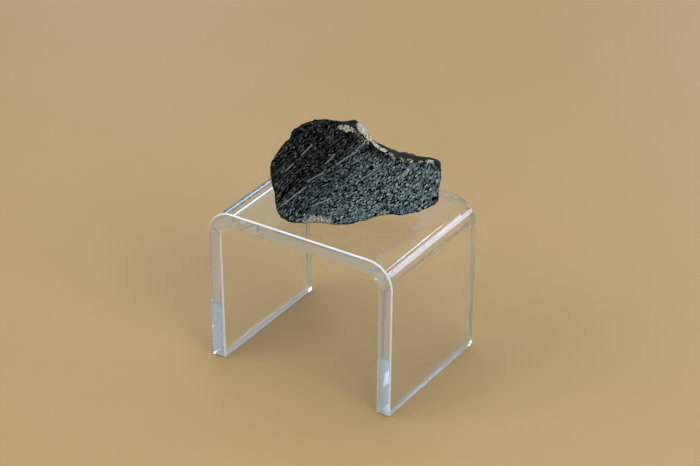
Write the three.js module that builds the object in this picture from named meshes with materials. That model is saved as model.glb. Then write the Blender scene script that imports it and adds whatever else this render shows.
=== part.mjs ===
// A small stone meteorite with one sawn face, standing on a clear acrylic display riser.
// Millimetres, +Z up. The origin is on the table, under the middle of the riser.
// +X runs from the riser's left leg to its right leg, and its open front faces -Y.
import * as THREE from "three";
import { ImprovedNoise } from "three/addons/math/ImprovedNoise.js";

// ---- Display riser: one acrylic sheet, sawn to a strip and bent twice over a hot wire ----
const SHEET = 3.0; // thickness of the acrylic sheet
const RISER_WIDTH = 41.0; // outside of leg to outside of leg, halfway up
const RISER_DEPTH = 30.5; // front edge to back edge
const RISER_HEIGHT = 32.7; // table to top surface
const BEND_OUTSIDE = 5.6; // outer radius of the two bends
const LEG_LEAN = 0.65; // degrees that each leg closes in towards its foot
const BEND_STEPS = 12; // facets round each bend

// ---- Meteorite: a broken, weathered lump with one flat saw cut ----
const FACE_TURN = 34; // degrees that the sawn face is turned about the upright axis
const FACE_LEAN = 8; // degrees that the sawn face leans back
const STANDS_AT = [4.2, -7.3]; // where the lowest point of the sawn face stands on the riser
const CLEARANCE = 0.02; // gap that keeps the stone and the riser two separate solids
const HEART = [3.0, 9.0]; // middle of the sawn face, across and up: the surface closes round it
const BACK = [1.6, 12.5, 7.8]; // across, behind and up of the furthest point before it was broken
const FULLNESS = 3.4; // how boxy the unbroken lump is: 2 is round, and 10 is nearly square
const SKIN_STEPS = 54; // facets along each side of the square skin that is drawn round the lump
const EDGE_BAND = 1.2; // width behind the cut over which the relief grows to its full height

// Edge of the cut, in the plane of the sawn face: [across, up] from the point it stands on.
const CUT_EDGE = [
  [-12.8, 11.4], [-12.6, 12.2], [-11.7, 13.9], [-10.0, 16.1], [-8.9, 17.2], [-8.8, 18.3],
  [-8.1, 19.1], [-7.2, 19.7], [-6.5, 19.9], [-5.6, 20.5], [-4.9, 20.6], [-1.4, 20.5],
  [0.7, 19.9], [2.1, 19.2], [3.2, 18.2], [4.6, 16.8], [7.2, 15.1], [8.7, 13.8], [11.1, 12.9], [14.8, 12.1],
  [17.7, 11.7], [18.4, 11.0], [18.5, 9.5], [18.2, 7.2], [18.1, 4.6], [17.5, 4.0],
  [14.9, 2.7], [11.2, 1.9], [9.3, 2.1], [7.4, 1.9], [4.5, 0.9], [1.6, 0.2],
  [-0.3, 0.0], [-3.4, 0.5], [-7.0, 0.4], [-8.9, 0.6], [-10.2, 1.2], [-11.3, 2.3],
  [-11.8, 4.1], [-12.0, 7.1], [-12.6, 9.0],
];

// Natural breaks, each a plane that took a corner off the lump: a point on it and the direction
// it looks in, both [across, behind, up].
const BREAKS = [
  { through: [-7.0, 0.5, 19.3], faces: [-0.50, 0.65, 0.57] }, // upper left slope
  { through: [-3.0, 0.6, 20.6], faces: [-0.05, 0.72, 0.69] }, // behind the top edge
  { through: [13.0, 3.3, 12.6], faces: [0.28, 0.66, 0.70] }, // right shoulder
  { through: [-12.0, 3.0, 8.5], faces: [-0.83, 0.55, 0.06] }, // left end
  { through: [17.2, 5.2, 6.5], faces: [0.72, 0.68, 0.14] }, // right end
  { through: [10.5, 9.2, 6.5], faces: [0.36, 0.93, -0.06] }, // right half of the back
  { through: [-6.0, 10.0, 8.0], faces: [-0.42, 0.90, -0.12] }, // left half of the back
  { through: [1.0, 9.6, 1.4], faces: [0.06, 0.72, -0.69] }, // lower back
];
const WEATHERING = 0.35; // how far the edges between the breaks are rounded off

// Relief of the natural surface: [across, behind, up] of its middle, radius, and height.
// A height above nought is a lump, and one below nought is a hollow.
const CROWN = 0.15; // where each one starts to fall away, as a share of its radius
const FOOT = 1.35; // where it has died away
const RELIEF = [
  { at: [4.2, 2.3, 17.8], radius: 2.3, height: 2.4 }, // shoulder behind the chipped top edge
  { at: [1.9, 2.0, 19.2], radius: 2.2, height: 1.6 }, // the rest of it, towards the top
  { at: [6.6, 1.9, 16.2], radius: 1.9, height: 0.9 }, // and down the slope
  { at: [8.5, 2.2, 14.3], radius: 2.4, height: 1.1 }, // ledge along the right shoulder
  { at: [17.6, 1.8, 11.4], radius: 1.8, height: 0.6 },
  { at: [6.6, 5.0, 1.2], radius: 3.6, height: 2.2 }, // swelling that props up the right half
  { at: [-6.5, 6.5, 0.8], radius: 3.6, height: 0.6 },
  { at: [-4.5, 6.0, 14.5], radius: 3.0, height: -1.2 }, // thumbprint hollows in the back
  { at: [3.6, 9.4, 12.2], radius: 2.8, height: -1.3 },
  { at: [9.8, 9.0, 8.0], radius: 2.6, height: -1.3 },
  { at: [-7.4, 8.8, 6.6], radius: 2.8, height: -1.2 },
  { at: [-1.2, 11.0, 7.4], radius: 2.4, height: -1.1 },
  { at: [4.6, 10.6, 4.0], radius: 2.0, height: -0.9 },
  { at: [15.6, 5.6, 7.0], radius: 2.2, height: -0.9 },
  { at: [-3.4, 4.2, 17.4], radius: 1.8, height: -0.7 },
];

// Random lumpiness over the whole natural surface: size of the lumps and how far they stand out.
// Where creased is true, the lumps meet in sharp valleys.
const ROUGHNESS = [
  { size: 7.0, height: 0.6, creased: false },
  { size: 4.2, height: 0.6, creased: true },
  { size: 2.0, height: 0.3, creased: true },
];
const CREASE = 0.8; // depth of those valleys below the plain surface, as a share of the height

const { degToRad: radians, smoothstep } = THREE.MathUtils;
const noise = new ImprovedNoise();

function material(name, colour, roughness, extra = {}) {
  return new THREE.MeshStandardMaterial({ name, color: colour, roughness, metalness: 0, ...extra });
}

// ---- Riser ----

// Cross-section of the bent sheet, seen from the front: up the right leg, over the top and down the
// left one on the outside, and back along the inside.
function riserSection() {
  const lean = radians(LEG_LEAN);
  const bendInside = BEND_OUTSIDE - SHEET;
  const bendUp = RISER_HEIGHT - BEND_OUTSIDE;
  const widening = (bendUp - RISER_HEIGHT / 2) * Math.sin(lean);
  const bendAcross = RISER_WIDTH / 2 + (widening - BEND_OUTSIDE) / Math.cos(lean);
  const footOutside = RISER_WIDTH / 2 - (RISER_HEIGHT / 2) * Math.tan(lean);
  const footInside = footOutside - SHEET / Math.cos(lean);
  const quarter = Math.PI / 2;

  const section = new THREE.Shape();
  section.moveTo(footInside, 0);
  section.lineTo(footOutside, 0);
  section.absarc(bendAcross, bendUp, BEND_OUTSIDE, -lean, quarter, false);
  section.absarc(-bendAcross, bendUp, BEND_OUTSIDE, quarter, 2 * quarter + lean, false);
  section.lineTo(-footOutside, 0);
  section.lineTo(-footInside, 0);
  section.absarc(-bendAcross, bendUp, bendInside, 2 * quarter + lean, quarter, true);
  section.absarc(bendAcross, bendUp, bendInside, quarter, -lean, true);
  section.closePath();
  return section;
}

function makeRiser() {
  const geometry = new THREE.ExtrudeGeometry(riserSection(), {
    depth: RISER_DEPTH,
    bevelEnabled: false,
    curveSegments: BEND_STEPS,
  });
  geometry.rotateX(Math.PI / 2); // the section stands up, and the strip's depth runs along Y
  geometry.translate(0, RISER_DEPTH / 2, 0);
  const clearAcrylic = { transparent: true, opacity: 0.35 };
  const riser = new THREE.Mesh(geometry, material("clear_acrylic", 0xdfe9ec, 0.05, clearAcrylic));
  riser.name = "display_riser";
  return riser;
}

// ---- Meteorite ----

// How far the natural surface stands out from its plain form at a point [across, behind, up].
function reliefAt(point) {
  let height = 0;
  for (const { size, height: amount, creased } of ROUGHNESS) {
    const lump = noise.noise(point.x / size + size, point.y / size, point.z / size - size);
    height += amount * (creased ? 2 * Math.abs(lump) - CREASE : lump);
  }
  for (const { at, radius, height: amount } of RELIEF) {
    const distance = point.distanceTo(new THREE.Vector3(...at)) / radius;
    height += amount * (1 - smoothstep(distance, CROWN, FOOT));
  }
  return height * smoothstep(point.y, 0, EDGE_BAND);
}

// How far the lump reaches from its heart in a direction, once the breaks have taken their share.
// It is a soft least of the distances to the unbroken surface and to each break's plane.
function reachAfterBreaks(heart, direction, unbroken) {
  let nearness = Math.exp(-unbroken / WEATHERING);
  for (const { through, faces } of BREAKS) {
    const normal = new THREE.Vector3(...faces);
    const closing = direction.dot(normal);
    if (closing <= 0) continue;
    const distance = new THREE.Vector3(...through).sub(heart).dot(normal) / closing;
    nearness += Math.exp(-distance / WEATHERING);
  }
  return -WEATHERING * Math.log(nearness);
}

// Where a point of the square sheet lies on a disc: the turn round it, from 0 to 1, and how near it
// is to the middle, from 0 on the border to 1 in the middle. Squares become rings of equal width.
function squareToDisc(x, y) {
  const border = Math.max(Math.abs(x), Math.abs(y));
  if (border === 0) return { turn: 0, inward: 1 };
  const side = Math.abs(x) > Math.abs(y) ? { start: x > 0 ? 0 : 4, along: y / x }
    : { start: y > 0 ? 2 : 6, along: -x / y };
  return { turn: (((side.start + side.along) / 8) % 1 + 1) % 1, inward: 1 - border };
}

// A point of the natural surface, on the way from the edge of the cut to the back of the lump.
function surfacePoint(heart, edgePoint, inward) {
  const angle = inward * (Math.PI / 2);
  const toEdge = edgePoint.sub(heart).multiplyScalar(Math.cos(angle));
  const toBack = new THREE.Vector3(...BACK).sub(heart).multiplyScalar(Math.sin(angle));
  const boxiness = (Math.cos(angle) ** FULLNESS + Math.sin(angle) ** FULLNESS) ** (-1 / FULLNESS);
  const spoke = toEdge.add(toBack).multiplyScalar(boxiness);
  const direction = spoke.clone().normalize();
  const reach = reachAfterBreaks(heart, direction, spoke.length());
  const plain = heart.clone().addScaledVector(direction, reach);
  return plain.addScaledVector(direction, reliefAt(plain));
}

// The closed skin of the stone, as [across, behind, up]: a square sheet drawn round the back of the
// lump with its border on the edge of the cut, and a fan of facets that fills the flat cut.
function makeSkin() {
  const corners = CUT_EDGE.map(([across, up]) => new THREE.Vector3(across, 0, up));
  const edge = new THREE.CatmullRomCurve3(corners, true, "centripetal");
  const heart = new THREE.Vector3(HEART[0], 0, HEART[1]);

  const sheet = new THREE.PlaneGeometry(2, 2, SKIN_STEPS, SKIN_STEPS);
  const flat = sheet.getAttribute("position");
  const points = [];
  for (let i = 0; i < flat.count; i++) {
    const { turn, inward } = squareToDisc(flat.getX(i), flat.getY(i));
    const edgePoint = edge.getPointAt(turn);
    points.push(inward === 0 ? edgePoint : surfacePoint(heart, edgePoint, inward));
  }

  const side = SKIN_STEPS + 1;
  const corner = [];
  for (let row = 0; row < SKIN_STEPS; row++) {
    for (let column = 0; column < SKIN_STEPS; column++) {
      const [a, b] = [row * side + column, row * side + column + 1];
      const [c, d] = [a + side, b + side];
      const across = points[b].distanceTo(points[c]) < points[a].distanceTo(points[d]);
      corner.push(...(across ? [a, c, b, b, c, d] : [a, c, d, a, d, b]));
    }
  }

  const last = side * side - 1;
  const steps = [...Array(SKIN_STEPS).keys()];
  const border = [
    ...steps, ...steps.map((i) => SKIN_STEPS + i * side),
    ...steps.map((i) => last - i), ...steps.map((i) => last - SKIN_STEPS - i * side),
  ];
  border.forEach((from, i) => corner.push(points.length, from, border[(i + 1) % border.length]));
  points.push(heart);

  const geometry = new THREE.BufferGeometry().setFromPoints(points);
  return geometry.setIndex(corner);
}

// Stands the stone on the riser: the sawn face leans back, the body runs level behind it, and what
// would pass below the top of the riser is pressed flat against it.
function standOnRiser(geometry) {
  const [turn, lean] = [radians(FACE_TURN), radians(FACE_LEAN)];
  const across = new THREE.Vector3(Math.cos(turn), Math.sin(turn), 0);
  const behind = new THREE.Vector3(-Math.sin(turn), Math.cos(turn), 0);
  const up = new THREE.Vector3(0, 0, Math.cos(lean)).addScaledVector(behind, Math.sin(lean));
  const foot = new THREE.Vector3(...STANDS_AT, RISER_HEIGHT + CLEARANCE);
  geometry.applyMatrix4(new THREE.Matrix4().makeBasis(across, behind, up).setPosition(foot));
  const position = geometry.getAttribute("position");
  for (let i = 0; i < position.count; i++) {
    position.setZ(i, Math.max(position.getZ(i), foot.z));
  }
}

function makeMeteorite() {
  const geometry = makeSkin();
  standOnRiser(geometry);
  const meteorite = new THREE.Mesh(geometry, material("meteorite_stone", 0x3c4547, 0.7));
  meteorite.name = "meteorite";
  return meteorite;
}

const specimen = new THREE.Group();
specimen.add(makeRiser(), makeMeteorite());

export default specimen;
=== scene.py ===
# %% [markdown]
# # A sawn stone meteorite on a clear display riser
#
# The object is a small end cut of an ordinary chondrite. One side was sawn flat and left as the
# blade left it, and the rest is the natural outside: broken, weathered, pitted and dark, with cream
# caliche (desert lime) in its hollows. It leans on nothing and is fixed to nothing: it stands on a
# little bridge of clear acrylic, bent from one strip of 3 mm sheet.
#
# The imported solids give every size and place. This script makes two pieces round them, the riser
# and the stone, and gives each the surface of the real one.

# %% Load the frame
from math import pi, radians

import bmesh
import bpy
from mathutils import Matrix, Vector, kdtree, noise


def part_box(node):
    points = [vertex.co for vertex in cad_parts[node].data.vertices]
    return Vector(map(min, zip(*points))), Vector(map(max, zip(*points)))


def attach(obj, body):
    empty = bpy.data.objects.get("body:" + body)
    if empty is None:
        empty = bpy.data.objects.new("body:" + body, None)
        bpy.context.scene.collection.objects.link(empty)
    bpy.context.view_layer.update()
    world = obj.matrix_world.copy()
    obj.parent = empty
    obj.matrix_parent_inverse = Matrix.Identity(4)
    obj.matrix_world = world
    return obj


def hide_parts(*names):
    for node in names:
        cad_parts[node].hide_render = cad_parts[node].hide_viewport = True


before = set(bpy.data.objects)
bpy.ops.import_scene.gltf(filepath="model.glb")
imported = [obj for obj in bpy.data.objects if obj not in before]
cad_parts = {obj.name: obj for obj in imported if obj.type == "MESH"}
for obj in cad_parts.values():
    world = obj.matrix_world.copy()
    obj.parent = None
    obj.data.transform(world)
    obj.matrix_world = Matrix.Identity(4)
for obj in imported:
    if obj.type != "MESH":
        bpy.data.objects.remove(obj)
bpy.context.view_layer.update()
MM = 0.001

# %% [markdown]
# ## Colours and nodes
#
# Colours are written as the sRGB codes that a paint chart or a colour picker gives. Blender's
# shaders work in linear light, so one function turns a code into linear values. A second small
# function adds a shader node, sets its properties and connects its sockets in one call, which keeps
# each material short enough to read as a list of layers. Sockets are called by their names, or given
# in order where they share one name, as those of a Math node do.

# %% Colour and node helpers
def colour(code):
    """The linear RGBA of an sRGB colour such as "#3c4547"."""
    parts = [int(code[i:i + 2], 16) / 255 for i in (1, 3, 5)]
    return [p / 12.92 if p <= 0.04045 else ((p + 0.055) / 1.055) ** 2.4 for p in parts] + [1.0]


def add(tree, kind, inputs=(), ramp=(), **settings):
    """Adds a shader node. inputs names its sockets, or lists them in order, and gives each a value or
    the output that it is linked from. ramp lists the stops of a Color Ramp."""
    made = tree.nodes.new("ShaderNode" + kind)
    for name, value in settings.items():
        setattr(made, name, value)
    for socket, value in inputs.items() if isinstance(inputs, dict) else enumerate(inputs):
        if isinstance(value, bpy.types.NodeSocket):
            tree.links.new(value, made.inputs[socket])
        else:
            made.inputs[socket].default_value = value
    for stop, (position, tint) in enumerate(ramp):
        stops = made.color_ramp.elements
        element = stops[stop] if stop < 2 else stops.new(position)
        element.position, element.color = position, tint
    return made


def new_material(name):
    """An empty material with its output node."""
    made = bpy.data.materials.new(name)
    made.use_nodes = True
    made.node_tree.nodes.clear()
    return made, made.node_tree, add(made.node_tree, "OutputMaterial")


def new_piece(name, mesh, materials):
    """Links a finished mesh, in metres and in the frame, to the scene with these materials."""
    piece = bpy.data.objects.new(name, mesh)
    bpy.context.scene.collection.objects.link(piece)
    for finish in materials:
        mesh.materials.append(finish)
    return piece


BLACK, WHITE = colour("#000000"), colour("#ffffff")
print("mid grey is linear", round(colour("#808080")[0], 3))

# %% [markdown]
# ## Camera
#
# The object is seen from its front right corner, 33 degrees round and 30 degrees up, through a
# long lens that keeps the riser's legs almost parallel. Such a view is easiest to state as a point
# that the camera looks at, two angles and a distance.

# %% Camera
LOOKS_AT = Vector((4.8, -4.9, 30.0)) * MM
AROUND, ABOVE = radians(32.95), radians(29.83)
DISTANCE = 467.8 * MM
FOCAL_LENGTH, SENSOR_WIDTH = 128.5, 36.0  # mm

lens = bpy.data.cameras.new("camera")
lens.lens, lens.sensor_width = FOCAL_LENGTH, SENSOR_WIDTH
camera = bpy.data.objects.new("camera", lens)
camera.rotation_euler = (radians(90) - ABOVE, 0, AROUND)
backwards = camera.rotation_euler.to_matrix() @ Vector((0, 0, 1))
camera.location = LOOKS_AT + backwards * DISTANCE
bpy.context.scene.collection.objects.link(camera)
bpy.context.scene.camera = camera
print("camera stands at", [round(value / MM) for value in camera.location], "mm")

# %% [markdown]
# ## Floor and light
#
# Clear acrylic shows nothing of its own but what it bends and mirrors, so the floor and the lamps
# draw the riser. A plain warm floor with a soft sheen gives it something to refract. Three broad
# softboxes light the stone from both sides and from above, and the one at the right strikes the sawn
# face at a slant, so that its grooves show. Four cooler and weaker ones stand behind, mostly low, as
# windows do. They never reach the front of the stone: they are there for the bends, which mirror
# them as long pale bands, and for the edges, which carry their light to the front.
#
# The lowest lamp is also the reason for the small gap under the feet. A sawn foot touches the table
# only at high spots, and light gets out of the plastic between them.

# %% Floor
FLOOR_SIZE = 4.0  # m
FLOOR_GAP = 0.05 * MM

floor_paint, tree, out = new_material("floor_pale_satin")
shade = add(tree, "BsdfPrincipled", {
    "Base Color": colour("#b39664"), "Roughness": 0.5, "Specular IOR Level": 0.4,
})
tree.links.new(shade.outputs[0], out.inputs[0])

square = bmesh.new()
bmesh.ops.create_grid(square, x_segments=1, y_segments=1, size=FLOOR_SIZE / 2)
floor_mesh = bpy.data.meshes.new("floor")
square.to_mesh(floor_mesh)
floor = new_piece("floor", floor_mesh, [floor_paint])
floor.location.z = -FLOOR_GAP

# %% Light
SOFTBOXES = [  # name, direction it stands in, width and height in mm, watts
    ("low_behind_right", (0.65, 0.73, 0.21), 130, 90, 0.34),
    ("high_behind_right", (0.50, 0.73, 0.47), 30, 20, 0.025),
    ("low_behind_left", (-0.68, 0.73, 0.15), 130, 60, 0.10),
    ("behind", (0.10, 0.96, 0.16), 420, 140, 0.8),
    ("front_right", (0.95, -0.30, 0.75), 320, 260, 1.2),
    ("front_left", (-0.80, -0.75, 0.90), 360, 300, 1.0),
    ("overhead", (-0.10, 0.25, 1.00), 420, 420, 1.0),
]
LAMP_DISTANCE = 520 * MM
WINDOW_LIGHT = "#bfd4ff"
SKY, SKY_STRENGTH = "#e2e8ee", 0.45
BOUNCES, GLOSSY_BOUNCES = 32, 24

for name, direction, wide, high, watts in SOFTBOXES:
    lamp = bpy.data.lights.new(name, "AREA")
    lamp.shape, lamp.size, lamp.size_y, lamp.energy = "RECTANGLE", wide * MM, high * MM, watts
    if "behind" in name:
        lamp.color = colour(WINDOW_LIGHT)[:3]
    softbox = bpy.data.objects.new(name, lamp)
    towards = Vector(direction).normalized()
    softbox.location = LOOKS_AT + towards * LAMP_DISTANCE
    softbox.rotation_euler = towards.to_track_quat("Z", "Y").to_euler()
    bpy.context.scene.collection.objects.link(softbox)

world = bpy.data.worlds.new("studio")
world.use_nodes = True
sky = world.node_tree.nodes["Background"]
sky.inputs["Color"].default_value = colour(SKY)
sky.inputs["Strength"].default_value = SKY_STRENGTH
bpy.context.scene.world = world
bpy.context.scene.view_settings.view_transform = "Standard"

# Light that enters an edge is mirrored many times between the sheet's faces before it leaves.
light_paths = bpy.context.scene.cycles
light_paths.max_bounces = light_paths.transmission_bounces = BOUNCES
light_paths.glossy_bounces = GLOSSY_BOUNCES
print(len(SOFTBOXES), "softboxes,", round(sum(watts for *_, watts in SOFTBOXES), 2), "W in all")

# %% [markdown]
# ## Riser: shape
#
# The real riser starts as a strip sawn from 3 mm cast acrylic. It is laid over a hot wire and bent
# once for each leg. The model is made in the same order: a rectangle the size of the strip's
# section is drawn out to where the bend starts, spun round the bend, drawn down to the foot, and
# mirrored for the other leg. Spinning gives a true arc, which a bevelled box would only imitate.
# Where a hot sheet bends, its edges swell on the inside of the bend and draw in on the outside.
# Last, every cut edge has its sharp corner scraped off, with one narrow bevel.

# %% Riser: bend the strip
SHEET = 3.0 * MM
BEND_OUTSIDE = 5.6 * MM  # radius
BEND_STEPS = 20
LEG_LEAN = radians(0.65)  # each leg closes in by this much towards its foot
BEND_LEAD = 0.6 * MM  # short flat stretch next to each bend, which keeps the big faces' shading flat
EDGE_SWELL = 0.22 * MM  # at the middle of the bend
ARRIS = 0.24 * MM  # how far in from the cut edge the scraped corner starts
CORNER_ANGLE = radians(60)  # the strip's own corners are sharper than this, and no step of a bend is
SHADED_SHARP = radians(12)  # a turn from face to face that is shaded as an edge
FINISHES = ["face", "sawn_edge", "scraped_corner"]

_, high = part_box("display_riser")
half_depth = high.y
bend_across, bend_up = high.x - BEND_OUTSIDE, high.z - BEND_OUTSIDE


def drawn_out(bm, face, offset):
    """Extrudes an end face by an offset, drops it from the inside, and returns the new end face."""
    made = bmesh.ops.extrude_face_region(bm, geom=[face])["geom"]
    moved = [item for item in made if isinstance(item, bmesh.types.BMVert)]
    bmesh.ops.translate(bm, verts=moved, vec=offset)
    bm.faces.remove(face)
    return next(item for item in made if isinstance(item, bmesh.types.BMFace))


strip = bmesh.new()
section = [(-half_depth, high.z - SHEET), (half_depth, high.z - SHEET),
           (half_depth, high.z), (-half_depth, high.z)]
end = strip.faces.new([strip.verts.new((0, y, z)) for y, z in section])
end = drawn_out(strip, end, (bend_across - BEND_LEAD, 0, 0))
before_bend = drawn_out(strip, end, (BEND_LEAD, 0, 0))
bend = bmesh.ops.spin(
    strip, geom=[before_bend], cent=(bend_across, 0, bend_up), axis=(0, 1, 0), dvec=(0, 0, 0),
    angle=radians(90) + LEG_LEAN, steps=BEND_STEPS, use_merge=False,
)
strip.faces.remove(before_bend)
end = next(item for item in bend["geom_last"] if isinstance(item, bmesh.types.BMFace))
down = Matrix.Rotation(LEG_LEAN, 3, "Y") @ Vector((0, 0, -1))
end = drawn_out(strip, end, down * BEND_LEAD)
end = drawn_out(strip, end, down * BEND_LEAD)
for corner in end.verts:
    corner.co += down * (corner.co.z / -down.z)

middle_radius = BEND_OUTSIDE - SHEET / 2
for vert in strip.verts:
    from_bend = Vector((vert.co.x - bend_across, 0, vert.co.z - bend_up))
    if from_bend.x > 0 and from_bend.z > 0:
        turned = from_bend.x * from_bend.z * 2 / from_bend.length_squared
        inwards = (middle_radius - from_bend.length) / (SHEET / 2)
        vert.co.y += EDGE_SWELL * turned * inwards * (1 if vert.co.y > 0 else -1)

bmesh.ops.mirror(strip, geom=strip.verts[:] + strip.edges[:] + strip.faces[:],
                 axis="X", merge_dist=0.001 * MM)
bmesh.ops.recalc_face_normals(strip, faces=strip.faces[:])
corners = [edge for edge in strip.edges if edge.calc_face_angle(0) > CORNER_ANGLE]
bmesh.ops.bevel(strip, geom=corners, offset=ARRIS, offset_type="OFFSET", affect="EDGES",
                segments=1, profile=0.5, material=-1)
strip.normal_update()
for face in strip.faces:
    face.smooth = True
    sideways = abs(face.normal.y)  # 0 on a face, 0.7 on a scraped corner and 1 on a sawn edge
    on_foot = face.normal.z < -0.9 and face.calc_center_median().z < SHEET
    if 0.5 < sideways < 0.9:
        face.material_index = FINISHES.index("scraped_corner")
    elif sideways > 0.9 or on_foot:
        face.material_index = FINISHES.index("sawn_edge")
print("riser:", len(strip.faces), "faces,", round(strip.calc_volume() / MM ** 3), "mm3, closed:",
      all(edge.is_manifold for edge in strip.edges))

riser_mesh = bpy.data.meshes.new("riser")
strip.to_mesh(riser_mesh)
riser_mesh.set_sharp_from_angle(angle=SHADED_SHARP)

# %% [markdown]
# ## Riser: clear cast acrylic
#
# Cast acrylic (PMMA) is clearer than window glass and bends light a little less, with an index of
# 1.49. The riser has three finishes, and each gives the eye something else:
#
# - The faces keep the gloss of the plates the sheet was cast between, under hairline scratches from
#   wiping. They show up only as a faint streakiness in the bright bands.
# - The narrow edges were sawn and rubbed down a little. Fine saw lines are left, so what shows
#   through is softened, and some of the light scatters back as a pale frost.
# - The corners along those edges were scraped with a blade to take off the sharpness. The strip that
#   leaves is rough and nearly white, and it is what outlines the riser from every side.
#
# The plastic takes away a trace of red, which shows only where light runs a long way inside, as it
# does along the edges.

# %% Riser: materials
ACRYLIC_IOR = 1.49
INSIDE, DENSITY = "#d5ecee", 6.0  # what the plastic leaves of white light, and how much it takes per m
SAW_LINE = 0.35  # mm between the saw's lines on the edges
HAIRLINE = 0.12  # mm, width of a hairline scratch, drawn this coarse so that it shows
HAIRLINE_STRETCH = 0.12  # cells of noise to each mm along a scratch
HAIRLINE_TURNS = (25, -40, 80)  # degrees, the ways in which the cloth went


def clear_acrylic(name, surface, clearness, tint):
    """Clear acrylic. surface is the function that gives its roughness and its relief."""
    finish, tree, out = new_material(name)
    place = add(tree, "TexCoord").outputs["Object"]
    in_mm = add(tree, "VectorMath", {"Vector": place, "Scale": 1 / MM}, operation="SCALE").outputs[0]
    roughness, relief = surface(tree, in_mm)
    bump = add(tree, "Bump", {"Height": relief, "Strength": 0.004, "Distance": 0.02 * MM})
    shade = add(tree, "BsdfPrincipled", {
        "Base Color": tint, "IOR": ACRYLIC_IOR, "Transmission Weight": clearness,
        "Roughness": roughness, "Normal": bump.outputs[0],
    })
    absorb = add(tree, "VolumeAbsorption", {"Color": colour(INSIDE), "Density": DENSITY})
    tree.links.new(shade.outputs[0], out.inputs["Surface"])
    tree.links.new(absorb.outputs[0], out.inputs["Volume"])
    return finish


def scratched_gloss(tree, in_mm):
    """Polished plastic under fine scratches: noise drawn out lengthways, of which only the peaks stay."""
    hairlines = 0.0
    for turn in HAIRLINE_TURNS:
        turned = add(tree, "Mapping", {
            "Vector": in_mm, "Rotation": (radians(turn), 0, radians(turn)),
            "Scale": (1 / HAIRLINE, HAIRLINE_STRETCH, 1 / HAIRLINE),
        }).outputs[0]
        streak = add(tree, "TexNoise", {"Vector": turned, "Scale": 0.5, "Detail": 1.0}).outputs[0]
        thin = add(tree, "ValToRGB", [streak], ramp=[(0.72, BLACK), (0.78, WHITE)]).outputs[0]
        hairlines = add(tree, "Math", [hairlines, thin], operation="MAXIMUM").outputs[0]
    roughness = add(tree, "MapRange", {"Value": hairlines, "To Min": 0.01, "To Max": 0.05}).outputs[0]
    return roughness, hairlines


def sawn_frost(tree, in_mm):
    """A sawn edge, rubbed down: fine saw lines across the sheet."""
    across = add(tree, "Mapping", {"Vector": in_mm, "Scale": (1 / SAW_LINE, 0.2, 0.15)}).outputs[0]
    saw_lines = add(tree, "TexNoise", {"Vector": across, "Scale": 1.0, "Detail": 2.0}).outputs[0]
    roughness = add(tree, "MapRange", {
        "Value": saw_lines, "From Min": 0.3, "From Max": 0.7, "To Min": 0.08, "To Max": 0.20,
    }).outputs[0]
    return roughness, saw_lines


riser = new_piece("clear_display_riser", riser_mesh, [
    clear_acrylic("cast_acrylic_face", scratched_gloss, 1.0, WHITE),
    clear_acrylic("cast_acrylic_sawn_edge", sawn_frost, 0.84, colour("#f7f9ff")),
    clear_acrylic("cast_acrylic_scraped_corner", sawn_frost, 0.15, colour("#f7f9ff")),
])
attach(riser, "root")
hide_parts("display_riser")

# %% [markdown]
# ## Stone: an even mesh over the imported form
#
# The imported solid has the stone's true outline, its breaks, its knob and its hollows, but its facets
# are most of a millimetre wide. The real surface has detail down to a tenth of that. A copy of the
# solid is rounded by a subdivision surface and then remeshed on an even grid, so that every later
# step can move points without a thought for long thin faces. The cut's edge stays sharp while it is
# rounded, and the corners of its outline stay nearly so. Rounding, remeshing and chipping still take
# a little off that outline, so the copy is let out sideways by as much before they start. A hollow
# loses less than a corner does, so three places round the knob have a trim of their own.
#
# The work is done in the saw cut's own frame, in millimetres: x runs along the cut, y runs straight
# into the stone, and z runs up the cut. The grid then lies exactly along the flat face.

# %% Stone: copy, round and remesh
FACE_TURN, FACE_LEAN = radians(34), radians(8)
STANDS_AT = (4.2, -7.3)  # mm, where the lowest point of the sawn face stands
CELL = 0.215  # mm, grid of the natural surface; the sawn face gets half of it
CUT_TOLERANCE = 0.03  # mm, how far off the saw cut a point may lie and still belong to it
MERGE_DISTANCE = 0.001  # mm
RIM_CORNERS = 0.8  # how far the corners of the cut's outline stay sharp, from 0 to 1
ALLOWANCE = 0.28  # mm, what rounding, remeshing and chipping take off the outline
TRIMS = [  # x and z of a place, how far round it the trim reaches and how much it adds, all in mm
    (0.5, 20.3, 1.6, 0.18),
    (4.3, 19.2, 1.8, -0.45),
    (7.3, 15.9, 2.4, -0.60),
]

stone_low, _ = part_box("meteorite")
foot = Vector((*STANDS_AT, stone_low.z / MM))
saw_frame = (Matrix.Translation(foot) @ Matrix.Rotation(FACE_TURN, 4, "Z")
             @ Matrix.Rotation(-FACE_LEAN, 4, "X"))


def eased(value, start, end):
    """0 at start, 1 at end, and a smooth step between them."""
    share = min(max((value - start) / (end - start), 0), 1)
    return share * share * (3 - 2 * share)


def modified(bm, name, *modifiers):
    """The bmesh after these modifiers, each (type, settings)."""
    mesh = bpy.data.meshes.new(name)
    bm.to_mesh(mesh)
    holder = bpy.data.objects.new(name, mesh)
    bpy.context.scene.collection.objects.link(holder)
    for kind, settings in modifiers:
        modifier = holder.modifiers.new(kind.lower(), kind)
        for setting, value in settings.items():
            setattr(modifier, setting, value)
    result = bmesh.new()
    result.from_object(holder, bpy.context.evaluated_depsgraph_get())
    bpy.data.objects.remove(holder)
    bpy.data.meshes.remove(mesh)
    return result


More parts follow.
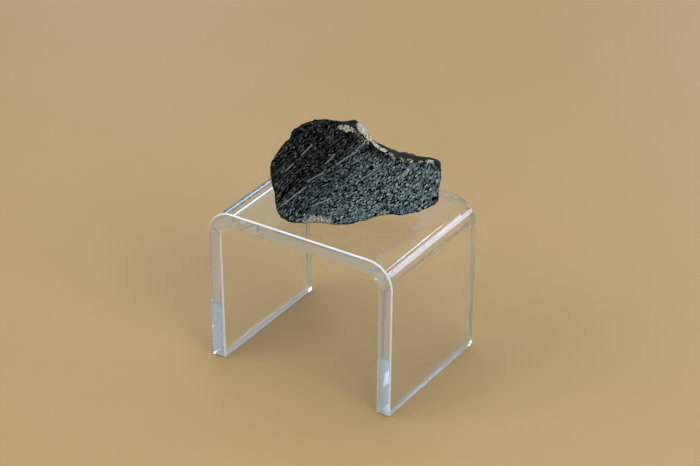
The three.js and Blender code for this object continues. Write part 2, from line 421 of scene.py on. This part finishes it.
solid = bmesh.new()
solid.from_mesh(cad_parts["meteorite"].data)
bmesh.ops.scale(solid, vec=(1 / MM,) * 3, verts=solid.verts[:])
bmesh.ops.transform(solid, matrix=saw_frame.inverted(), verts=solid.verts[:])
bmesh.ops.remove_doubles(solid, verts=solid.verts[:], dist=MERGE_DISTANCE)
on_cut = {face for face in solid.faces if all(abs(v.co.y) < CUT_TOLERANCE for v in face.verts)}
solid.normal_update()
for vert in solid.verts:
    outwards = Vector((vert.normal.x, 0, vert.normal.z))
    if outwards.length > 0.1:  # a point inside the cut faces straight out of it, and stays
        trim = sum(amount * (1 - eased(Vector((vert.co.x - x, vert.co.z - z)).length, 0, reach))
                   for x, z, reach, amount in TRIMS)
        vert.co += outwards.normalized() * (ALLOWANCE + trim)
sharp = solid.edges.layers.float.new("crease_edge")
pinned = solid.verts.layers.float.new("crease_vert")
for edge in solid.edges:
    if len(on_cut.intersection(edge.link_faces)) == 1:
        edge[sharp] = 1.0
        for vert in edge.verts:
            vert[pinned] = RIM_CORNERS

stone = modified(
    solid, "stone_copy",
    ("SUBSURF", {"levels": 2, "render_levels": 2}),
    ("REMESH", {"mode": "VOXEL", "voxel_size": CELL, "use_smooth_shade": True}),
)
lime, hollow, upper_rim_dark, scratch, off_scratch = [
    stone.verts.layers.float.new(name) for name in ("lime", "hollow", "upper_rim_dark", "scratch", "off_scratch")
]
print("stone copy:", len(solid.faces), "faces, remeshed:", len(stone.faces), "faces")

# %% Stone: split the sawn face more finely
SMOOTHINGS = 3  # of the natural surface, which takes the steps of the remesh off it

flat_faces = [f for f in stone.faces if all(abs(v.co.y) < CUT_TOLERANCE for v in f.verts)]
flat_edges = list({edge for face in flat_faces for edge in face.edges})
bmesh.ops.subdivide_edges(stone, edges=flat_edges, cuts=1, use_grid_fill=True)
bmesh.ops.triangulate(stone, faces=[face for face in stone.faces if len(face.verts) > 4])
stone.normal_update()

cut_verts = [vert for vert in stone.verts if abs(vert.co.y) < CUT_TOLERANCE]
natural = [vert for vert in stone.verts if abs(vert.co.y) >= CUT_TOLERANCE]
for vert in cut_verts:
    vert.co.y = 0
for _ in range(SMOOTHINGS):
    bmesh.ops.smooth_vert(stone, verts=natural, factor=0.5,
                          use_axis_x=True, use_axis_y=True, use_axis_z=True)
rim = [v for v in cut_verts if any(not all(abs(w.co.y) < CUT_TOLERANCE for w in f.verts)
                                   for f in v.link_faces)]
rim_tree = kdtree.KDTree(len(rim))
for index, vert in enumerate(rim):
    rim_tree.insert(vert.co, index)
rim_tree.balance()
print("sawn face:", len(cut_verts), "points, natural surface:", len(natural), "points, rim:", len(rim))

# %% [markdown]
# ## Stone: natural relief
#
# A chondrite is a packing of hard round grains, chondrules, in a softer matrix. Weathering eats the
# matrix first, so the outside turns knobbly at the size of the grains, with small pits where a grain
# fell out. Those two sizes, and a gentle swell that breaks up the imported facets, are added along
# each point's normal. The relief dies away towards the saw cut, because the blade cut through all
# of it and the cut's edge is already true, and it is strongest on the back, which lay open the
# longest.

# %% Stone: lumps, grains and pits
NATURAL_RELIEF = [  # size in mm, height in mm
    (2.6, 0.16),
    (1.1, 0.13),
    (0.55, 0.09),
]
PIT_SPACING, PIT_RADIUS, PIT_DEPTH = 2.1, 0.55, 0.30  # mm
RELIEF_FADE = 0.5  # mm behind the cut
BACK_RELIEF = 0.7  # how much stronger the relief is on the back
BACK_FROM, BACK_TO = 2, 5  # mm behind the cut, between which the relief grows
HEART = Vector((3.0, 5.0, 9.0))  # mm, a point deep inside the stone


def pit_at(point, spacing, radius):
    """1 in the middle of a pit, 0 outside it. Pits are scattered one to a cell of the spacing."""
    nearest = noise.voronoi(point / spacing)[0][0] * spacing
    return 1 - eased(nearest, 0, radius)


stone.normal_update()
shifts = []
for vert in natural:
    height = sum(amount * noise.noise(vert.co / size + HEART) for size, amount in NATURAL_RELIEF)
    height -= PIT_DEPTH * pit_at(vert.co, PIT_SPACING, PIT_RADIUS)
    height *= eased(vert.co.y, 0, RELIEF_FADE) * (1 + BACK_RELIEF * eased(vert.co.y, BACK_FROM, BACK_TO))
    shifts.append(vert.normal * height)
for vert, shift in zip(natural, shifts):
    vert.co += shift
print("natural relief moves a point by up to", round(max(shift.length for shift in shifts), 2), "mm")

# %% [markdown]
# ## Stone: chipped rim
#
# A saw blade leaves the rim of the cut sharp, and a sharp rim of brittle stone chips. Each chip is a
# small slanting flake off the corner. The corner is taken off by a bevel whose width changes along
# the rim with noise of two sizes: mostly nothing, and now and then some tenths of a millimetre. A
# point of the face near the rim drops into the bevel by half of what is missing, and a point behind
# the rim moves in by the other half, so that both land on one slanting plane.
#
# By the shoulder a larger flake is gone. There the saw marks stop, and the face sinks to a rough break.

# %% Stone: chips
CHIPS = [  # length along the rim and size in mm
    (1.5, 0.42),
    (0.6, 0.50),
]
CHIP_SHARE = 0.08  # noise above this makes a chip
BREAK_MIDDLE, BREAK_RADIUS, BREAK_DEPTH = Vector((4.1, 0, 17.9)), 2.3, 0.45  # mm
BREAK_GRAIN, BREAK_ROUGHNESS = 0.5, 0.12  # mm

chipped, broken = set(), set()
for vert in stone.verts:
    if vert.co.y > max(size for _, size in CHIPS):
        continue
    nearest, _, gap = rim_tree.find(vert.co)
    chip = max(size * (noise.noise(nearest / length) - CHIP_SHARE) for length, size in CHIPS)
    if gap < chip:
        inwards = Vector((HEART.x - nearest.x, 0, HEART.z - nearest.z)).normalized()
        missing = (chip - gap) / 2
        vert.co += inwards * missing + Vector((0, missing, 0))
        chipped.add(vert)
for vert in cut_verts:
    reach = (vert.co - BREAK_MIDDLE).length + noise.noise(vert.co)
    sunk = 1 - eased(reach, 0.5 * BREAK_RADIUS, BREAK_RADIUS)
    if sunk > 0:
        vert.co.y += sunk * (BREAK_DEPTH + BREAK_ROUGHNESS * noise.noise(vert.co / BREAK_GRAIN))
        broken.add(vert)
print(len(chipped), "points lie in chips,", len(broken), "in the break")

# %% [markdown]
# ## Stone: saw marks
#
# A thin diamond blade wanders a little as it cuts, and each turn leaves a shallow arc of its own
# radius. The block was turned over part of the way through, so a second family of arcs crosses the
# first at the left end. The arcs are real grooves here, a few hundredths of a millimetre deep: deep
# enough to catch slanting light, and the finer ones are left to the material. Where the blade caught
# a metal grain, it plucked it out and left a small pit.

# %% Stone: grooves in the sawn face
MAIN_ARCS = (-18.8, 40.9)  # mm, x and z of the middle of the main family of arcs
CROSSING_ARCS = (20.4, -21.0)  # mm, middle of the family at the left end
CROSSING_FROM, CROSSING_TO = 0.5, -8.5  # mm along the cut, where the second family takes over
GROOVE_SPACING, GROOVE_DEPTH = 0.65, 0.035  # mm
GROOVE_RUN = 5.0  # mm, how far a groove keeps its depth
GROOVE_FADE = 0.3  # mm from the rim
PLUCK_SPACING, PLUCK_RADIUS, PLUCK_DEPTH = 3.4, 0.42, 0.16  # mm


def groove_at(point, middle):
    """The blade's wander, from -1 to 1, at a point of the cut: even along an arc, and new across it."""
    spoke = Vector((point.x - middle[0], 0, point.z - middle[1]))
    return noise.noise(Vector((spoke.length / GROOVE_SPACING, spoke.x / GROOVE_RUN, 0))) * 2


grooved = [vert for vert in cut_verts if vert not in chipped and vert not in broken]
for vert in grooved:
    crossing = eased(vert.co.x, CROSSING_FROM, CROSSING_TO)
    groove = (1 - crossing) * groove_at(vert.co, MAIN_ARCS) + crossing * groove_at(vert.co, CROSSING_ARCS)
    depth = GROOVE_DEPTH * (groove + 1) / 2
    depth += PLUCK_DEPTH * pit_at(vert.co, PLUCK_SPACING, PLUCK_RADIUS)
    _, _, gap = rim_tree.find(vert.co)
    vert.co.y += depth * eased(gap, 0, GROOVE_FADE)
print("grooves and plucked grains go", round(max(vert.co.y for vert in grooved), 2), "mm deep")

# %% [markdown]
# ## Stone: where the caliche is
#
# Lying in desert soil, the stone took on cream lime: a thick crust down the flank of the shoulder,
# a patch on the cut beside it, flecks along the ledge and the lower rim, and traces in the hollows
# of the back. Each deposit is a soft ball round a point; how much of it reaches a point of the
# surface is stored on the mesh, and the materials turn it into a ragged edge.
#
# The mesh stores four more things that the materials need. One is how deep in a hollow a point
# lies, because dirt and lime stay where nothing rubs them off. One is how near a point of the cut
# lies to the upper rim, within a millimetre or two: the cut is drawn darker there. The last two
# belong to a handful of long scratches, cut by single hard grains that the blade dragged along its
# arc and shown bright with a painted glint: whether a point is near one, and how far it lies to the
# side of it. A distance stays true between the mesh's points, so the material can draw a line much
# finer than the mesh.

# %% Stone: deposits, hollows, darker upper rim and scratches
LIME_BEHIND_CUT = [  # x, y, z and reach in mm, amount
    ((3.8, 1.1, 18.9), 1.0, 0.9),
    ((4.3, 1.5, 18.4), 1.9, 1.0),
    ((5.6, 1.4, 17.0), 1.8, 1.0),
    ((6.9, 1.0, 15.8), 1.4, 1.0),
    ((8.1, 0.5, 14.6), 0.9, 0.95),
    ((9.6, 0.2, 13.8), 0.7, 0.60),
    ((11.2, 0.2, 12.9), 0.7, 0.55),
    ((12.9, 0.2, 12.6), 0.8, 0.55),
    ((14.9, 0.3, 12.2), 0.8, 0.55),
    ((16.6, 0.5, 12.0), 1.2, 0.65),
    ((-4.2, 0.8, 0.5), 2.6, 0.6),
]
LIME_ON_CUT = [  # the same, on the cut itself
    ((0.2, 0, 19.2), 0.7, 0.80),
    ((1.3, 0, 19.0), 0.9, 0.95),
    ((2.6, 0, 18.8), 0.9, 0.85),
    ((3.6, 0, 18.0), 0.9, 0.60),
    ((4.6, 0, 16.9), 1.7, 0.47),
    ((8.8, 0, 14.0), 0.5, 0.60),
    ((10.0, 0, 13.2), 0.6, 0.55),
    ((11.4, 0, 12.7), 0.6, 0.60),
    ((13.0, 0, 12.4), 0.5, 0.60),
    ((14.4, 0, 12.0), 0.5, 0.50),
    ((-6.3, 0, 0.7), 1.1, 0.62),
    ((-5.0, 0, 1.1), 1.4, 0.68),
    ((-3.6, 0, 1.0), 1.4, 0.66),
    ((-2.2, 0, 0.7), 1.1, 0.60),
    ((4.0, 0, 1.1), 0.9, 0.50),
    ((8.0, 0, 2.2), 0.9, 0.50),
]
LIME_FROM, LIME_TO = 0.35, 1.25  # shares of the reach, between which a deposit thins out
BACK_TRACES, BACK_TRACE_SIZE = 0.5, 4.5  # amount, and size in mm
TRACES_FROM, TRACES_TO = 2, 4  # mm behind the cut, between which the traces set in
RIM_DARK_REACH = 2.0  # mm
RIM_DARK_ABOVE = 11.0  # mm up the cut; the darkening shows only along the upper rim
SCRATCHES = [  # from x and z to x and z, in mm
    ((-9.8, 11.0), (-8.8, 12.0)),
    ((-0.5, 12.1), (3.2, 14.6)),
    ((-5.9, 8.8), (-3.3, 10.3)),
    ((-10.9, 3.9), (-6.6, 7.4)),
    ((-5.2, 3.8), (-2.2, 5.1)),
    ((-2.4, 12.4), (-1.3, 13.6)),
    ((-6.9, 14.0), (-5.3, 15.7)),
    ((2.9, 14.7), (4.3, 15.9)),
    ((2.2, 2.0), (4.3, 3.4)),
]
SCRATCH_REACH = 0.45  # mm, how far round a scratch the mesh stores it


def lime_at(point, deposits):
    """How much lime reaches a point from a list of deposits, from 0 to 1."""
    return max(amount * (1 - eased((point - Vector(middle)).length, LIME_FROM * reach, LIME_TO * reach))
               for middle, reach, amount in deposits)


def scratch_at(point):
    """The nearest long scratch: 1 near it and 0 away from it, and how far to one side of it in mm."""
    strongest, off = 0, 0
    for (x0, z0), (x1, z1) in SCRATCHES:
        start, end = Vector((x0, 0, z0)), Vector((x1, 0, z1))
        run = (end - start).normalized()
        along = min(max((point - start).dot(run), 0), (end - start).length)
        near = 1 - eased((point - start - run * along).length, 0.5 * SCRATCH_REACH, SCRATCH_REACH)
        if near > strongest:
            strongest, off = near, (point - start).cross(run).y
    return strongest, off


stone.normal_update()
on_the_cut = set(cut_verts)
for vert in stone.verts:
    flat = Vector((vert.co.x, 0, vert.co.z))
    if vert in on_the_cut:
        vert[lime] = lime_at(flat, LIME_ON_CUT)
        nearest, _, gap = rim_tree.find(flat)
        vert[upper_rim_dark] = (1 - eased(gap, 0.2 * RIM_DARK_REACH, RIM_DARK_REACH)) * eased(nearest.z, RIM_DARK_ABOVE - 1, RIM_DARK_ABOVE + 1)
        vert[scratch], vert[off_scratch] = scratch_at(flat)
    else:
        trace = BACK_TRACES * noise.noise(vert.co / BACK_TRACE_SIZE)
        trace *= eased(vert.co.y, TRACES_FROM, TRACES_TO)
        vert[lime] = max(lime_at(vert.co, LIME_BEHIND_CUT), trace, 0)
    around = [edge.other_vert(vert).co for edge in vert.link_edges]
    middle = sum(around, Vector()) / len(around)
    vert[hollow] = (middle - vert.co).dot(vert.normal) / CELL

for face in stone.faces:
    face.smooth = True
    sawn = on_the_cut.issuperset(face.verts) and not chipped.intersection(face.verts)
    face.material_index = 0 if sawn else 1
print(sum(vert[lime] > 0.5 for vert in stone.verts), "points under lime")

# %% Stone: back to metres and into the frame
bmesh.ops.transform(stone, matrix=Matrix.Scale(MM, 4) @ saw_frame, verts=stone.verts[:])
for vert in stone.verts:
    vert.co.z = max(vert.co.z, stone_low.z)  # no grain reaches below the solid, into the riser
stone_mesh = bpy.data.meshes.new("stone")
stone.to_mesh(stone_mesh)
print("stone:", sum(len(face.verts) - 2 for face in stone.faces), "triangles, closed:",
      all(edge.is_manifold for edge in stone.edges))

# %% [markdown]
# ## Stone: sawn chondrite
#
# Cut and left unpolished, an ordinary chondrite is charcoal to blue-grey: dark matrix, paler
# chondrules and bright flecks of nickel iron, all of them smeared a little by the blade. The finish
# is built up in that order, and every layer is laid along the same arcs as the grooves:
#
# - Three patterns add up to the fine pepper-and-salt hatch: the even lines of the blade's feed, short
#   strokes, and the grains, each drawn out to an oval. The sum also drives the bump.
# - The sum picks a colour from a dark scale or a pale one. The left and upper end is nearly black,
#   the rest is bluer and paler, and the two drift into each other. This is partly the cut's own tone
#   and partly painted light: painted shade at the dark end, and painted light with a painted
#   reflection of blue sky at the pale end. The cut is drawn darker along its upper rim as well.
# - Here and there a grain of metal shows as a short bright dash, a painted glint where bare metal
#   mirrors the light. Long hairline scratches cross it all, and a few deep ones are brighter still,
#   with painted glint as well.
# - Smooth, pale spots have a faint sheen, where the blade burnished them. The dark matrix has none.

# %% Stone: coordinates and lime for its materials
LIME_RAGGED = 2.4  # how far noise shifts the edge of a deposit


def in_saw_frame(tree):
    """Object coordinates turned into the saw cut's frame, in millimetres."""
    place = add(tree, "TexCoord").outputs["Object"]
    return add(tree, "Mapping", {
        "Vector": place, "Location": foot * MM, "Rotation": (-FACE_LEAN, 0, FACE_TURN),
        "Scale": (MM, MM, MM),
    }, vector_type="TEXTURE").outputs[0]


def along_arcs(tree, point, middle, width, length):
    """Coordinates that run across the arcs in steps of width and along them in steps of length, in mm."""
    spoke = add(tree, "VectorMath", [point, (middle[0], 0, middle[1])], operation="SUBTRACT")
    flat = add(tree, "VectorMath", [spoke.outputs[0], (1, 0, 1)], operation="MULTIPLY")
    radius = add(tree, "VectorMath", [flat.outputs[0]], operation="LENGTH").outputs["Value"]
    sideways = add(tree, "SeparateXYZ", [flat.outputs[0]]).outputs["X"]
    across = add(tree, "Math", [radius, width], operation="DIVIDE").outputs[0]
    along = add(tree, "Math", [sideways, length], operation="DIVIDE").outputs[0]
    return add(tree, "CombineXYZ", {"X": across, "Y": along}).outputs[0]


def lime_layer(tree, point):
    """How much cream lime covers the surface, with a ragged edge, and its colour with painted shade and
    highlight in it.
    """
    amount = add(tree, "Attribute", attribute_name="lime").outputs["Fac"]
    ragged = add(tree, "TexNoise", {
        "Vector": point, "Scale": 2.6, "Detail": 5.0, "Roughness": 0.75,
    }).outputs[0]
    shift = add(tree, "Math", [ragged, 0.5], operation="SUBTRACT").outputs[0]
    spread = add(tree, "Math", [shift, LIME_RAGGED, amount], operation="MULTIPLY_ADD").outputs[0]
    cover = add(tree, "ValToRGB", [spread], ramp=[(0.50, BLACK), (0.58, WHITE)]).outputs[0]
    powder_shade_and_highlight = add(tree, "TexNoise", {
        "Vector": point, "Scale": 3.6, "Detail": 4.0, "Roughness": 0.65,
    }).outputs[0]
    # The darkest stops are painted shade in the lime's relief and the cream-white top a painted
    # highlight; between them is the lime's own cream.
    cream = add(tree, "ValToRGB", [powder_shade_and_highlight], ramp=[
        (0.36, colour("#3c3d35")), (0.45, colour("#84826f")), (0.53, colour("#b8b6a5")),
        (0.62, colour("#f3f1e6")),
    ]).outputs[0]
    return cover, cream


# %% Stone: patterns of the sawn face
FEED_DRIFT = 3.0  # lines


def feed_marks(tree, path):
    """Even lines, one to each step of the path, that drift aside and back."""
    across = add(tree, "SeparateXYZ", [path]).outputs["X"]
    drift = add(tree, "TexNoise", {"Vector": path, "Scale": 0.35, "Detail": 1.0}).outputs[0]
    drifted = add(tree, "Math", [drift, FEED_DRIFT, across], operation="MULTIPLY_ADD").outputs[0]
    phase = add(tree, "Math", [drifted, 2 * pi], operation="MULTIPLY").outputs[0]
    return add(tree, "Math", [phase], operation="SINE").outputs[0]


def strokes(tree, path):
    """Short soft strokes along the path."""
    return add(tree, "TexNoise", {"Vector": path, "Scale": 1.0, "Detail": 0.0}).outputs[0]


def grains(tree, path, edge=0.75, core=0.15, rarity=1.0):
    """Grains that fade from core to edge, each with a tone of its own. Rarity darkens all but a few."""
    cell = add(tree, "TexVoronoi", {"Vector": path, "Scale": 1.0}, voronoi_dimensions="2D")
    tone = add(tree, "SeparateColor", [cell.outputs["Color"]]).outputs["Red"]
    rarer = add(tree, "Math", [tone, rarity], operation="POWER").outputs[0]
    shape = add(tree, "MapRange", {
        "Value": cell.outputs["Distance"], "From Min": edge, "From Max": core,
    }).outputs[0]
    return add(tree, "Math", [rarer, shape], operation="MULTIPLY").outputs[0]


def metal_grains(tree, path):
    """The few grains of metal: small, sharp and bright."""
    return grains(tree, path, edge=0.40, core=0.22, rarity=3.5)


def on_both_arcs(tree, point, pattern, width, length):
    """A pattern laid along the main arcs, and along the crossing arcs where those take over."""
    along = add(tree, "SeparateXYZ", [point]).outputs["X"]
    crossing = add(tree, "MapRange", {
        "Value": along, "From Min": CROSSING_TO, "From Max": CROSSING_FROM, "To Min": 1.0, "To Max": 0.0,
    }, interpolation_type="SMOOTHSTEP").outputs[0]
    main, other = [pattern(tree, along_arcs(tree, point, middle, width, length))
                   for middle in (MAIN_ARCS, CROSSING_ARCS)]
    return add(tree, "Mix", {"Factor": crossing, "A": main, "B": other}).outputs["Result"]


# %% Stone: where the sawn face is dark and pale, with painted shade and light, and its painted glints
# The pale share is partly the cut's own tone and partly painted light: painted shade at the dark end,
# painted light and sky reflection at the pale end.
PALE_AT_FOOT = 0.65  # from 0, darkest, to 1, palest, where the frame of the cut starts
PALER_RIGHT, DARKER_UP = 0.060, -0.075  # to each mm along the cut and up it
TONE_DRIFT, RIM_DARKENING = 0.9, -0.55  # what drifting noise adds, and what the darker upper rim takes away
METAL_GRAINS = (0.27, 0.62)  # mm across and along the arcs, one grain of metal to each
FINE_SCRATCHES = (0.18, 7.0)  # mm across and along the arcs
FINE_GLINT, LONG_GLINT = 0.24, 0.40  # from 0, the stone's own colour, to 1, the full painted glint
GLINT_IN_DARK, GLINT_IN_PALE = 0.27, 0.65  # share of a glint left in the dark, and added in the pale
SCRATCH_WIDTH = 0.11  # mm


def pale_share(tree, point):
    """0 where the cut is darkest, with painted shade, 1 where it is palest, with painted light."""
    axes = add(tree, "SeparateXYZ", [point])
    rim_dark_here = add(tree, "Attribute", attribute_name="upper_rim_dark").outputs["Fac"]
    drift = add(tree, "TexNoise", {"Vector": point, "Scale": 0.2, "Detail": 3.0}).outputs[0]
    pale = PALE_AT_FOOT
    for amount, effect in ((axes.outputs["X"], PALER_RIGHT), (axes.outputs["Z"], DARKER_UP),
                           (drift, TONE_DRIFT)):
        pale = add(tree, "Math", [amount, effect, pale], operation="MULTIPLY_ADD").outputs[0]
    return add(tree, "Math", [rim_dark_here, RIM_DARKENING, pale], operation="MULTIPLY_ADD",
               use_clamp=True).outputs[0]


def painted_glints(tree, point, zone):
    """How much painted glint shows, from 0 to 1: on grains of metal, fine scratches and the few long
    ones.
    """
    metal = on_both_arcs(tree, point, metal_grains, *METAL_GRAINS)
    peaks = add(tree, "MapRange", {
        "Value": on_both_arcs(tree, point, strokes, *FINE_SCRATCHES), "From Min": 0.62, "From Max": 0.70,
    }).outputs[0]
    fine = add(tree, "Math", [peaks, FINE_GLINT], operation="MULTIPLY").outputs[0]
    small = add(tree, "Math", [metal, fine], operation="MAXIMUM").outputs[0]
    left = add(tree, "Math", [zone, GLINT_IN_PALE, GLINT_IN_DARK], operation="MULTIPLY_ADD").outputs[0]
    small = add(tree, "Math", [small, left], operation="MULTIPLY").outputs[0]

    aside = add(tree, "Attribute", attribute_name="off_scratch").outputs["Fac"]
    aside = add(tree, "Math", [aside], operation="ABSOLUTE").outputs[0]
    line = add(tree, "MapRange", {
        "Value": aside, "From Min": SCRATCH_WIDTH, "From Max": 0.3 * SCRATCH_WIDTH,
    }).outputs[0]
    near = add(tree, "Attribute", attribute_name="scratch").outputs["Fac"]
    long = add(tree, "Math", [line, near], operation="MULTIPLY").outputs[0]
    long = add(tree, "Math", [long, LONG_GLINT], operation="MULTIPLY").outputs[0]
    return add(tree, "Math", [small, long], operation="MAXIMUM").outputs[0]


# %% Stone: material of the sawn face
HATCH = [  # pattern, mm across and along the arcs, strength
    (feed_marks, 0.55, 3.0, 0.13),
    (strokes, 0.17, 0.85, 0.95),
    (grains, 0.20, 0.30, 1.05),
]
HATCH_LOWEST, HATCH_HIGHEST = 0.52, 1.08  # sums of the hatch that are drawn darkest and palest


def sawn_chondrite():
    """Sawn, unpolished chondrite: hatch, dark and pale tone with painted shade and light, painted glints
    and lime.
    """
    finish, tree, out = new_material("sawn_chondrite")
    point = in_saw_frame(tree)
    hatch = 0.0
    for pattern, width, length, strength in HATCH:
        layer = on_both_arcs(tree, point, pattern, width, length)
        hatch = add(tree, "Math", [layer, strength, hatch], operation="MULTIPLY_ADD").outputs[0]
    tone = add(tree, "MapRange", {
        "Value": hatch, "From Min": HATCH_LOWEST, "From Max": HATCH_HIGHEST,
    }).outputs[0]

    dark = add(tree, "ValToRGB", [tone], ramp=[
        (0.40, colour("#000000")), (0.70, colour("#010202")), (0.88, colour("#080d0e")),
        (1.00, colour("#1d282a")),
    ]).outputs[0]
    pale = add(tree, "ValToRGB", [tone], ramp=[
        (0.15, colour("#000101")), (0.38, colour("#0b1719")), (0.60, colour("#2c4349")),
        (0.90, colour("#7d9aa6")),
    ]).outputs[0]
    zone = pale_share(tree, point)
    cover, cream = lime_layer(tree, point)
    surface = dark
    # The near-white layer is a painted glint on metal and scratches, in place of the light they mirror.
    for share, layer in ((zone, pale), (painted_glints(tree, point, zone), colour("#dff3f6")), (cover, cream)):
        surface = add(tree, "Mix", {"Factor": share, "A": surface, "B": layer},
                      data_type="RGBA").outputs["Result"]

    roughness = add(tree, "MapRange", {"Value": tone, "To Min": 0.70, "To Max": 0.42}).outputs[0]
    sheen = add(tree, "MapRange", {
        "Value": tone, "From Min": 0.5, "From Max": 0.95, "To Min": 0.0, "To Max": 0.35,
    }).outputs[0]
    bump = add(tree, "Bump", {"Height": hatch, "Strength": 0.9, "Distance": 0.06 * MM})
    shade = add(tree, "BsdfPrincipled", {
        "Base Color": surface, "Roughness": roughness, "Normal": bump.outputs[0],
        "Specular IOR Level": sheen,
    })
    tree.links.new(shade.outputs[0], out.inputs["Surface"])
    return finish


# %% [markdown]
# ## Stone: weathered outside
#
# What is left of the fusion crust, the skin that melted in the fall, is a greenish black. It is
# darkest beside the cut. Further back the weather has had longer at it: the skin has gone a dull
# brownish grey, with rust in patches where the metal in it has corroded. Ridges are rubbed to one
# plain grey, hollows keep the darkest and the palest grains, and nothing shines. The colours are
# mixed by how far behind the cut and how deep in a hollow a point lies, and by noise at the size of
# the grains.

# %% Stone: material of the natural surface
AGED_FROM, AGED_TO = 2.0, 4.0  # mm behind the cut, between which the skin has aged


def weathered_crust():
    """The outside: dark skin, aged and rusted behind, with rubbed ridges and lime."""
    finish, tree, out = new_material("weathered_crust")
    point = in_saw_frame(tree)
    behind = add(tree, "SeparateXYZ", [point]).outputs["Y"]
    age = add(tree, "MapRange", {
        "Value": behind, "From Min": AGED_FROM, "From Max": AGED_TO,
    }).outputs[0]
    grain = add(tree, "TexNoise", {
        "Vector": point, "Scale": 2.4, "Detail": 5.0, "Roughness": 0.7,
    }).outputs[0]
    patches = add(tree, "TexNoise", {"Vector": point, "Scale": 0.35, "Detail": 3.0}).outputs[0]
    rusty = add(tree, "MapRange", {
        "Value": patches, "From Min": 0.48, "From Max": 0.62, "To Max": age,
    }).outputs[0]
    depth = add(tree, "Attribute", attribute_name="hollow").outputs["Fac"]
    rubbed = add(tree, "MapRange", {"Value": depth, "From Min": -0.03, "From Max": -0.16}).outputs[0]

    crust = add(tree, "ValToRGB", [grain], ramp=[
        (0.36, colour("#020302")), (0.52, colour("#10140f")), (0.64, colour("#353d33")),
        (0.78, colour("#8b9588")),
    ]).outputs[0]
    aged = add(tree, "ValToRGB", [grain], ramp=[
        (0.34, colour("#080807")), (0.50, colour("#2b2b25")), (0.64, colour("#59584c")),
        (0.80, colour("#9a9887")),
    ]).outputs[0]
    rust = add(tree, "ValToRGB", [grain], ramp=[
        (0.32, colour("#120c08")), (0.52, colour("#473524")), (0.78, colour("#8d7355")),
    ]).outputs[0]
    ridges = add(tree, "Mix", {"Factor": age, "A": colour("#1c201b"), "B": colour("#54544a")},
                 data_type="RGBA").outputs["Result"]
    cover, cream = lime_layer(tree, point)
    surface = crust
    for share, layer in ((age, aged), (rusty, rust), (rubbed, ridges), (cover, cream)):
        surface = add(tree, "Mix", {"Factor": share, "A": surface, "B": layer},
                      data_type="RGBA").outputs["Result"]

    bump = add(tree, "Bump", {"Height": grain, "Strength": 0.7, "Distance": 0.12 * MM})
    shade = add(tree, "BsdfPrincipled", {
        "Base Color": surface, "Roughness": 0.8, "Normal": bump.outputs[0],
        "Specular IOR Level": 0.12,
    })
    tree.links.new(shade.outputs[0], out.inputs["Surface"])
    return finish


# %% Stone: the finished piece
meteorite = new_piece("sawn_meteorite", stone_mesh, [sawn_chondrite(), weathered_crust()])
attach(meteorite, "root")
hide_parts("meteorite")
